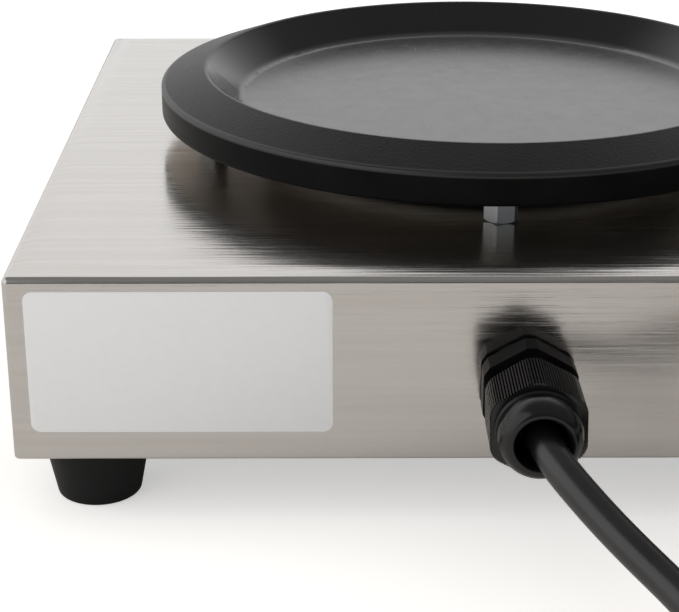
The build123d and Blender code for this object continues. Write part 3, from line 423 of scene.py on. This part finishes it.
# A lighter line round the lip top, broken up by the grain: partly wear, partly a painted highlight
lip_gap = calc(tree, "ABSOLUTE", calc(tree, "SUBTRACT", from_axis, 0.0660))
lip_top = times(tree, spread(tree, lip_gap, 0.0006, 0.0002), spread(tree, level, 0.0700, 0.0709))
lip_wear_and_highlight = times(tree, lip_top, spread(tree, pebble["Grain"], 0.3, 0.6))
mottle = spread(tree, pebble["Mottle"], 0.3, 0.7)
coat_colour = tint(tree, mottle, (0.002, 0.002, 0.0021), (0.004, 0.004, 0.0042))
bared_colour = tint(tree, underneath, coat_colour, (0.50, 0.44, 0.38))
well_colour = tint(tree, in_well, bared_colour, (0.040, 0.040, 0.041))
lip_wear_and_highlight_colour = tint(tree, times(tree, lip_wear_and_highlight, 0.4), well_colour, (0.085, 0.085, 0.085))
dusty_colour = tint(tree, times(tree, dust, 0.5), lip_wear_and_highlight_colour, (0.045, 0.045, 0.045))
link(tree, dusty_colour, shader, "Base Color")
link(tree, underneath, shader, "Metallic")
slope_rough = spread(tree, pebble["Grain"], 0.25, 0.75, 0.36, 0.46)
side_rough = spread(tree, turned_lines, 0.3, 0.7, 0.30, 0.46)
well_rough = spread(tree, fine["Mottle"], 0.3, 0.7, 0.23, 0.28)
wall_rough = 0.20
outer_rough = between(tree, on_side, slope_rough, side_rough)
inner_rough = between(tree, in_well, wall_rough, well_rough)
link(tree, between(tree, in_lip, outer_rough, inner_rough), shader, "Roughness")
inner_shine = calc(tree, "SUBTRACT", in_lip, times(tree, in_wall, 0.62))
slope_shine = times(tree, times(tree, on_slope, rest_of(tree, rim_edge)), 0.14)
edge_shine = times(tree, rim_edge, 0.50)
lively = plus(tree, plus(tree, inner_shine, slope_shine), edge_shine)
link(tree, spread(tree, lively, 0.0, 1.0, 0.055, 1.0), shader, "Specular IOR Level")
pebble_height = times(tree, pebble["Grain"], on_slope)
turned_height = times(tree, times(tree, turned_lines, on_side), 0.55)
fine_height = times(tree, fine["Grain"], spread(tree, in_lip, 0.0, 1.0, 0.06, 0.0))
coat_height = plus(tree, plus(tree, pebble_height, turned_height), fine_height)
link(tree, bump(tree, coat_height, 90 * MICRON, 0.75), shader, "Normal")

# The grained finishes: dark and light colour, least and most roughness, grain per metre, its depth in
# micrometres, sockets that are the same all over, and the nodes that wear it
METAL = {"Metallic": 1.0}
finishes = {}
for name, dark, light, rough, scale, depth, sockets, wearers in (
    ("zinc_plate", (0.36, 0.385, 0.40), (0.48, 0.505, 0.52), (0.24, 0.38), 1500, 10, METAL,
     ["foot_nuts", "foot_washers", "foot_screws", "case_washers", "case_screws", "clamp_washer",
      "clamp_screw", "thermostat_screws", "earth_stud", "earth_nut"]),
    # Standoffs: the same zinc painted paler, as painted light on their lit faces
    ("standoff_zinc_painted_light", (0.46, 0.50, 0.53), (0.56, 0.60, 0.63), (0.24, 0.38), 1500, 10, METAL,
     ["plate_standoffs"]),
    # Heater clamp under the plate: zinc darkened as painted shade beneath the plate
    ("shade_darkened_zinc", (0.11, 0.105, 0.10), (0.17, 0.16, 0.15), (0.45, 0.65), 900, 10, METAL, ["heater_clamp"]),
    ("galvanised_sheet", (0.40, 0.41, 0.42), (0.56, 0.57, 0.58), (0.34, 0.52), 900, 10, METAL,
     ["base_plate", "corner_brackets"]),
    ("foot_rubber", (0.004, 0.004, 0.00416), (0.008, 0.008, 0.00832), (0.46, 0.62), 3200, 20,
     {"Specular IOR Level": 0.22},
     ["foot_front_left", "foot_front_right", "foot_rear_left", "foot_rear_right",
      "gland_washer", "gland_seal"]),
    ("gland_nylon", (0.002, 0.002, 0.0021), (0.004, 0.004, 0.0042), (0.16, 0.26), 2600, 10,
     {"Specular IOR Level": 0.50}, ["gland_nut"]),
    ("flange_nylon", (0.002, 0.002, 0.0021), (0.004, 0.004, 0.0042), (0.30, 0.42), 2600, 10,
     {"Specular IOR Level": 0.12}, ["gland_body", "gland_locknut"]),
    ("cord_sheath", (0.003, 0.003, 0.00312), (0.006, 0.006, 0.00624), (0.24, 0.34), 1700, 15,
     {"Specular IOR Level": 0.85}, ["cord_entry"]),
    ("plug_vinyl", (0.010, 0.010, 0.0105), (0.020, 0.020, 0.0205), (0.38, 0.54), 2400, 20, {},
     ["plug_body"]),
    ("tie_strap", (0.014, 0.014, 0.0145), (0.030, 0.030, 0.031), (0.60, 0.80), 2800, 60, {}, ["coil_tie"]),
    ("pin_nickel", (0.60, 0.54, 0.42), (0.72, 0.66, 0.53), (0.20, 0.34), 1800, 8, METAL,
     ["plug_blades", "plug_earth_pin"]),
    ("tab_brass", (0.62, 0.48, 0.24), (0.76, 0.62, 0.34), (0.26, 0.42), 1600, 10, METAL,
     ["heater_tabs", "thermostat_tabs", "switch_terminals", "switch_contact", "earth_ring"]),
    # Mica and fibre board under the plate: colours darkened as painted shade beneath the plate
    ("mica_sheet", (0.10, 0.084, 0.06), (0.17, 0.145, 0.105), (0.30, 0.55), 700, 30, {},
     ["heating_element"]),
    ("fibre_board", (0.34, 0.325, 0.29), (0.46, 0.445, 0.40), (0.80, 0.95), 1400, 80, {},
     ["heater_insulation"]),
    ("thermostat_shell", (0.60, 0.60, 0.60), (0.74, 0.74, 0.74), (0.28, 0.44), 1500, 10, METAL,
     ["thermostat_cap"]),
    ("phenolic", (0.022, 0.017, 0.014), (0.040, 0.031, 0.025), (0.38, 0.55), 1800, 20, {},
     ["thermostat_body"]),
    ("switch_black", (0.010, 0.010, 0.0105), (0.018, 0.018, 0.0185), (0.26, 0.38), 3600, 10, {},
     ["switch_body"]),
    ("plunger_steel", (0.58, 0.58, 0.58), (0.70, 0.70, 0.70), (0.14, 0.24), 2000, 5, METAL,
     ["switch_plunger"]),
    ("milky_nylon", (0.60, 0.60, 0.57), (0.72, 0.72, 0.69), (0.40, 0.55), 2000, 20, {},
     ["switch_connectors", "heater_connectors"]),
    ("black_sleeve", (0.014, 0.014, 0.014), (0.028, 0.028, 0.028), (0.50, 0.66), 3000, 30, {},
     ["live_wire", "switched_wire", "link_wire"]),
    ("white_sleeve", (0.66, 0.66, 0.63), (0.78, 0.78, 0.75), (0.50, 0.66), 3000, 30, {},
     ["neutral_wire", "lamp_wire"]),
    ("green_sleeve", (0.045, 0.21, 0.05), (0.075, 0.30, 0.08), (0.46, 0.60), 3000, 20, {}, ["earth_wire"]),
    ("lamp_glass", (0.93, 0.80, 0.66), (0.98, 0.88, 0.76), (0.04, 0.10), 1500, 4,
     {"Transmission Weight": 1.0}, ["switch_lamp"]),
    ("rocker_red", (0.36, 0.010, 0.008), (0.46, 0.016, 0.012), (0.16, 0.26), 2600, 6, {"Coat Weight": 0.25},
     ["switch_rocker"]),
    ("mark_paint", (0.66, 0.66, 0.64), (0.74, 0.74, 0.72), (0.35, 0.5), 3000, 4, {}, []),
    ("label_vinyl", (0.755, 0.755, 0.755), (0.77, 0.77, 0.77), (0.38, 0.46), 9000, 4, {}, []),
):
    finishes[name] = grained(name, dark, light, rough, scale, depth * MICRON, sockets)
    for wearer in wearers:
        for slot in nodes[wearer].material_slots:
            slot.material = finishes[name]
for slot in nodes["warming_plate"].material_slots:
    slot.material = plate_coat
cord_curve.materials.append(finishes["cord_sheath"])


# Modelling by hand in short form; sizes and places are in millimetres
def deselect():
    """Leaves edit mode with nothing selected."""
    if bpy.context.object and bpy.context.object.mode != "OBJECT":
        bpy.ops.object.mode_set(mode="OBJECT")
    bpy.ops.object.select_all(action="DESELECT")


def activate(piece):
    """Selects one piece and makes it the active one."""
    deselect()
    piece.select_set(True)
    bpy.context.view_layer.objects.active = piece


def take(name):
    """Names the new primitive and puts its place in its mesh."""
    piece = bpy.context.active_object
    piece.name = name
    piece.data.name = name
    bpy.ops.object.transform_apply(location=True, rotation=True, scale=True)
    return piece


def in_metres(place):
    """A place in metres."""
    return [x * MM for x in place]


def cylinder(name, vertices, radius, depth, place, turn=(0, 0, 0)):
    """A cylinder, or a prism with this many sides, round its middle."""
    deselect()
    bpy.ops.mesh.primitive_cylinder_add(
        vertices=vertices, radius=radius * MM, depth=depth * MM, location=in_metres(place), rotation=turn
    )
    return take(name)


def pick(piece, kind, test):
    """Selects, in edit mode, the vertices, edges or faces that pass a test."""
    bpy.ops.mesh.select_mode(type={"verts": "VERT", "edges": "EDGE", "faces": "FACE"}[kind])
    bpy.ops.mesh.select_all(action="DESELECT")
    shape = bmesh.from_edit_mesh(piece.data)
    for part in getattr(shape, kind):
        if test(part):
            part.select_set(True)
    bmesh.update_edit_mesh(piece.data)


def bevel(size, segments, affect="EDGES"):
    """Rounds what is selected in edit mode."""
    bpy.ops.mesh.bevel(offset=size * MM, segments=segments, affect=affect)


def apply_modifier(piece, kind, **settings):
    """Adds a modifier with these settings and applies it."""
    activate(piece)
    modifier = piece.modifiers.new(kind.title(), kind)
    for key, value in settings.items():
        setattr(modifier, key, value)
    bpy.ops.object.modifier_apply(modifier=modifier.name)


def use_up(piece, operation, tool):
    """Cuts or trims a piece with a tool piece, and throws the tool away."""
    apply_modifier(piece, "BOOLEAN", operation=operation, solver="EXACT", object=tool)
    bpy.data.objects.remove(tool)


def cut_away(piece, *cutters):
    """Cuts the cutters out of a piece."""
    for cutter in cutters:
        use_up(piece, "DIFFERENCE", cutter)


def round_cutter(radius, depth, place, turn=(0, 0, 0)):
    """A drill of this size, for cut_away."""
    return cylinder("drill", 64, radius, depth, place, turn)


def box_cutter(size, place):
    """A square punch of this size, for cut_away."""
    deselect()
    bpy.ops.mesh.primitive_cube_add(size=MM, location=in_metres(place))
    bpy.context.active_object.scale = size
    return take("punch")


def turned(name, profile, centre, axis, steps=96):
    """A closed profile of (radius, distance along) points, spun round an axis through a centre."""
    spots = [(Vector(centre) + Vector((radius, 0, 0)) + Vector(axis) * far) * MM for radius, far in profile]
    deselect()
    bpy.ops.mesh.primitive_plane_add(size=MM, location=spots[0])
    piece = take(name)
    bpy.ops.object.mode_set(mode="EDIT")
    bpy.ops.mesh.select_mode(type="VERT")
    bpy.ops.mesh.select_all(action="SELECT")
    bpy.ops.mesh.merge(type="CENTER")
    for start, end in zip(spots, spots[1:] + spots[:1]):
        bpy.ops.mesh.extrude_vertices_move(TRANSFORM_OT_translate={"value": end - start})
    bpy.ops.mesh.select_all(action="SELECT")
    bpy.ops.mesh.spin(steps=steps, angle=math.tau, center=Vector(centre) * MM, axis=axis)
    bpy.ops.mesh.select_all(action="SELECT")
    bpy.ops.mesh.remove_doubles(threshold=0.002 * MM)
    bpy.ops.mesh.delete_loose(use_faces=False)
    bpy.ops.mesh.select_all(action="SELECT")
    bpy.ops.mesh.normals_make_consistent(inside=False)
    bpy.ops.object.mode_set(mode="OBJECT")
    return piece


def soften(piece, centre, axis, rings, segments=5):
    """Rounds the turned edges that lie at these (radius, distance along, size) rings."""
    near = 0.02
    bpy.ops.object.mode_set(mode="EDIT")
    for radius, far, size in rings:

        def on_ring(vert):
            gap = vert.co / MM - Vector(centre)
            height = gap.dot(Vector(axis))
            return abs(height - far) < near and abs((gap - Vector(axis) * height).length - radius) < near

        pick(piece, "edges", lambda edge: all(on_ring(vert) for vert in edge.verts))
        bevel(size, segments)
    bpy.ops.object.mode_set(mode="OBJECT")


def combine(piece, *others):
    """Joins other pieces into the first one's mesh."""
    activate(piece)
    for part in others:
        part.select_set(True)
    bpy.ops.object.join()


def dress(piece, body, slot_name, material, *replaced, smooth=35):
    """Shades a finished piece, gives it its material, ties it to its body and hides the nodes it replaces.
    The slot name is not used.
    """
    activate(piece)
    bpy.ops.object.shade_smooth_by_angle(angle=math.radians(smooth))
    piece.data.materials.clear()
    piece.data.materials.append(material)
    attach(piece, body)
    if replaced:
        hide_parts(*replaced)
    deselect()


# Folded steel case: bent edges, a top that rolls down slightly before each bend, and a rounded lower edge
case_half_x = 100.0
case_half_y = rear_face
case_bottom = 14.0
case_top = 54.0
case_bend = 1.3
case_sheet = 1.0
lower_edge_round = 0.75
roll_step = 1.0
roll_count = 5
roll_drop = 0.60
near = 0.05
slack = 0.01
least_top_area = 0.03
heater_opening_radius = 32.0
gland_hole_radius = 7.9
switch_opening_width = 13.0
switch_opening_height = 19.2
switch_middle = (0, -rear_face, 34.0)
standoff_circle = 65.0
standoff_screw_radius = 2.2
cutter_depth = 6
standoff_places = [(standoff_circle, 0), (0, standoff_circle), (-standoff_circle, 0), (0, -standoff_circle)]
along_y = (math.radians(90), 0, 0)


def in_from_edge(place):
    """Distance in from the case's outline, with its rounded corners."""
    over_x = abs(place.x) / MM - (case_half_x - case_bend)
    over_y = abs(place.y) / MM - (case_half_y - case_bend)
    if over_x > 0 and over_y > 0:
        return case_bend - math.hypot(over_x, over_y)
    return case_bend - max(over_x, over_y)


deselect()
bpy.ops.mesh.primitive_cube_add(size=2 * MM, location=(0, 0, (case_bottom + case_top) / 2 * MM))
bpy.context.active_object.scale = (case_half_x, case_half_y, (case_top - case_bottom) / 2)
steel_case = take("steel_case")
bpy.ops.object.mode_set(mode="EDIT")
pick(steel_case, "faces", lambda face: face.normal.z < -0.9)
bpy.ops.mesh.delete(type="FACE")
pick(steel_case, "edges", lambda edge: max(v.co.z for v in edge.verts) > case_top * MM - 1e-6)
bevel(case_bend, 7)
pick(steel_case, "faces", lambda face: face.normal.z > 0.999 and face.calc_area() > least_top_area)
for count in range(roll_count):
    bpy.ops.mesh.inset(thickness=roll_step * MM, depth=0)
for count in range(roll_count):
    ring = case_bend + count * roll_step
    fall = roll_drop * (1 - count / roll_count) ** 2

    def rolls_down(vert):
        """The first ring takes the bend outside it along; each other ring goes alone."""
        inwards = in_from_edge(vert.co)
        on_ring = abs(inwards - ring) < near if count else inwards < ring + near
        return on_ring and vert.co.z > (case_top - case_bend - slack) * MM

    pick(steel_case, "verts", rolls_down)
    bpy.ops.transform.translate(value=(0, 0, -fall * MM))
bpy.ops.object.mode_set(mode="OBJECT")
apply_modifier(steel_case, "SOLIDIFY", thickness=case_sheet * MM, offset=-1, use_even_offset=True)
bpy.ops.object.mode_set(mode="EDIT")
pick(
    steel_case,
    "edges",
    lambda edge: all(v.co.z < (case_bottom + slack) * MM and in_from_edge(v.co) < 0.1 for v in edge.verts),
)
bevel(lower_edge_round, 4)
bpy.ops.object.mode_set(mode="OBJECT")
cut_away(
    steel_case,
    round_cutter(heater_opening_radius, cutter_depth, (0, 0, case_top)),
    round_cutter(gland_hole_radius, cutter_depth, (gland_axis_x, rear_face, gland_axis_z), along_y),
    box_cutter((switch_opening_width, cutter_depth, switch_opening_height), switch_middle),
    *[round_cutter(standoff_screw_radius, cutter_depth, (x, y, case_top)) for x, y in standoff_places],
)
dress(steel_case, "case", "stainless", brushed_steel, "housing_shell", smooth=40)

# Bare white label on the rear wall, with rounded corners and a pressed-down edge
label_low = (35.45, 20.35)
label_high = (95.95, 50.65)
label_thick = 0.16
label_off_wall = 0.005
label_corner = 2.0
label_edge_round = 0.07
label_middle = [(low + high) / 2 for low, high in zip(label_low, label_high)]
deselect()
bpy.ops.mesh.primitive_plane_add(
    size=MM,
    location=in_metres((label_middle[0], rear_face + label_off_wall, label_middle[1])),
    rotation=(math.radians(-90), 0, 0),
)
bpy.context.active_object.scale = (label_high[0] - label_low[0], label_high[1] - label_low[1], 1)
blank_label = take("blank_label")
bpy.ops.object.mode_set(mode="EDIT")
bpy.ops.mesh.select_all(action="SELECT")
bevel(label_corner, 8, "VERTICES")
bpy.ops.mesh.select_all(action="SELECT")
bpy.ops.mesh.extrude_region_move(TRANSFORM_OT_translate={"value": (0, label_thick * MM, 0)})
half_out = (rear_face + label_thick / 2) * MM
pick(blank_label, "edges", lambda edge: all(v.co.y > half_out for v in edge.verts))
bevel(label_edge_round, 2)
bpy.ops.mesh.select_all(action="SELECT")
bpy.ops.mesh.normals_make_consistent(inside=False)
bpy.ops.object.mode_set(mode="OBJECT")
dress(blank_label, "case", "connector_clear", finishes["label_vinyl"])

# Rubber feet: tapered, with a crisp lower edge and a pocket for the screw
up = (0, 0, 1)
foot_x = 85.0
foot_y = 82.5
foot_low_radius = 8.75
foot_top_radius = 11.5
foot_height = case_bottom
pocket_radius = 5.4
pocket_depth = 7.5
foot_screw_radius = 2.7
foot_profile = [
    (pocket_radius, 0),
    (foot_low_radius, 0),
    (foot_top_radius, foot_height),
    (foot_screw_radius, foot_height),
    (foot_screw_radius, pocket_depth),
    (pocket_radius, pocket_depth),
]
foot_rounds = [(foot_low_radius, 0, 0.55), (pocket_radius, 0, 0.4), (foot_top_radius, foot_height, 0.4)]
foot_places = {
    "foot_front_left": (-foot_x, -foot_y, 0),
    "foot_front_right": (foot_x, -foot_y, 0),
    "foot_rear_left": (-foot_x, foot_y, 0),
    "foot_rear_right": (foot_x, foot_y, 0),
}
for node_name, place in foot_places.items():
    rubber_foot = turned("rubber_" + node_name, foot_profile, place, up)
    soften(rubber_foot, place, up, foot_rounds)
    dress(rubber_foot, "case", "black_rubber", finishes["foot_rubber"], node_name)

# Hex standoffs under the plate, each at its own angle, with chamfered ends, studs and tapped holes
standoff_angles = (12, -17, 41, 5)
standoff_corner = 3.80
standoff_height = 6.5
standoff_face = 3.15
standoff_chamfer = 0.75
standoff_clear = 4.2
tapped_radius = 2.05
tapped_depth = 5.0
stud_radius = 2.0
stud_length = 5.5
chamfers = [
    (0, 0),
    (standoff_face, 0),
    (standoff_clear, standoff_chamfer),
    (standoff_clear, standoff_height - standoff_chamfer),
    (standoff_face, standoff_height),
    (0, standoff_height),
]
standoff_pieces = []
for (x, y), angle in zip(standoff_places, standoff_angles):
    standoff_middle = (x, y, case_top + standoff_height / 2)
    stud_middle = (x, y, case_top + standoff_height + stud_length / 2)
    standoff = cylinder(
        "standoff", 6, standoff_corner, standoff_height, standoff_middle, (0, 0, math.radians(angle))
    )
    use_up(standoff, "INTERSECT", turned("ends", chamfers, (x, y, case_top), up))
    cut_away(standoff, round_cutter(tapped_radius, 2 * tapped_depth, (x, y, case_top)))
    standoff_pieces += [standoff, cylinder("stud", 32, stud_radius, stud_length, stud_middle)]
combine(*standoff_pieces)
hex_standoffs = bpy.context.active_object
hex_standoffs.name = "hex_standoffs"
dress(hex_standoffs, "case", "zinc", finishes["standoff_zinc_painted_light"], "plate_standoffs", smooth=25)

# Dome nut of the cable gland: a hex with rounded corners and chamfered ends, ribbed all round, and a dome
gland_axis = (0, 1, 0)
nut_start = 10.0
nut_length = 11.4
nut_corner = 10.68
nut_hex_length = 20
nut_corner_round = 2.1
nut_lean = math.radians(2)
rib_lines = 416
rib_radius = 10.3
rib_share = 0.945
bore_radius = 7.4
bore_end_wall = 1.8
mouth_radius = 5.2
mouth_cut = 60
nut_back = (gland_axis_x, rear_face + nut_start, gland_axis_z)
nut_middle = (gland_axis_x, rear_face + nut_start + nut_length / 2, gland_axis_z)
nut_front = (gland_axis_x, nut_back[1] + nut_length, gland_axis_z)
nut_hex = cylinder("nut_hex", 6, nut_corner, nut_hex_length, nut_middle, (math.radians(90), nut_lean, 0))
bpy.ops.object.mode_set(mode="EDIT")
pick(nut_hex, "edges", lambda edge: abs(edge.verts[0].co.y - edge.verts[1].co.y) > 5 * MM)
bevel(nut_corner_round, 6)
dome_nut = cylinder("dome_nut", rib_lines, rib_radius, nut_length, nut_middle, along_y)
apply_modifier(dome_nut, "SHRINKWRAP", target=nut_hex, wrap_method="NEAREST_SURFACEPOINT")
bpy.data.objects.remove(nut_hex)
bpy.ops.object.mode_set(mode="EDIT")
# Every fourth line of the wall is pressed in, which leaves the ribs
pick(dome_nut, "verts", lambda vert: vert.index // 2 % 4 == 0)
bpy.ops.transform.resize(value=(rib_share, 1, rib_share), center_override=in_metres(nut_middle))
bpy.ops.object.mode_set(mode="OBJECT")
nut_ends = [(0, 0), (9.6, 0), (11.0, 0.8), (11.0, nut_length - 0.5), (9.95, nut_length), (0, nut_length)]
use_up(dome_nut, "INTERSECT", turned("ends", nut_ends, nut_back, gland_axis))
cut_away(
    dome_nut,
    round_cutter(bore_radius, 2 * (nut_length - bore_end_wall), nut_back, along_y),
    round_cutter(mouth_radius, mouth_cut, nut_back, along_y),
)
dome_profile = [(5.0, -1.0), (8.55, -1.0), (8.55, 0.55), (8.15, 0.75), (8.15, 1.9)]
for step in range(1, 11):
    turn = math.radians(9 * step)
    dome_profile.append((5.85 + 2.3 * math.cos(turn), 1.9 + 4.5 * math.sin(turn)))
dome_profile += [(5.4, 6.25), (5.1, 5.9), (5.0, 5.4)]
combine(dome_nut, turned("dome", dome_profile, nut_front, gland_axis))
dress(dome_nut, "case", "gland_nylon", finishes["gland_nylon"], "gland_nut", smooth=30)

# On and off marks printed on the two facets of the rocker, which lean 15 and 3 degrees in the rest pose
on_place = (0, -99.193, 37.903)
on_lean = math.radians(15)
on_size = (0.75, 0.08, 3.2)
off_place = (0, -97.855, 29.456)
off_lean = math.radians(93)
off_radius = 1.35
off_line_radius = 0.36
off_flatness = 0.12
deselect()
bpy.ops.mesh.primitive_cube_add(
    size=MM, location=in_metres(on_place), rotation=(on_lean, 0, 0), scale=on_size
)
on_mark = take("on_mark")
dress(on_mark, "rocker", "connector_clear", finishes["mark_paint"])
deselect()
bpy.ops.mesh.primitive_torus_add(
    location=in_metres(off_place), rotation=(off_lean, 0, 0), major_radius=off_radius * MM,
    minor_radius=off_line_radius * MM, major_segments=64, minor_segments=16,
)
bpy.context.active_object.scale = (1, 1, off_flatness)
off_mark = take("off_mark")
dress(off_mark, "rocker", "connector_clear", finishes["mark_paint"])
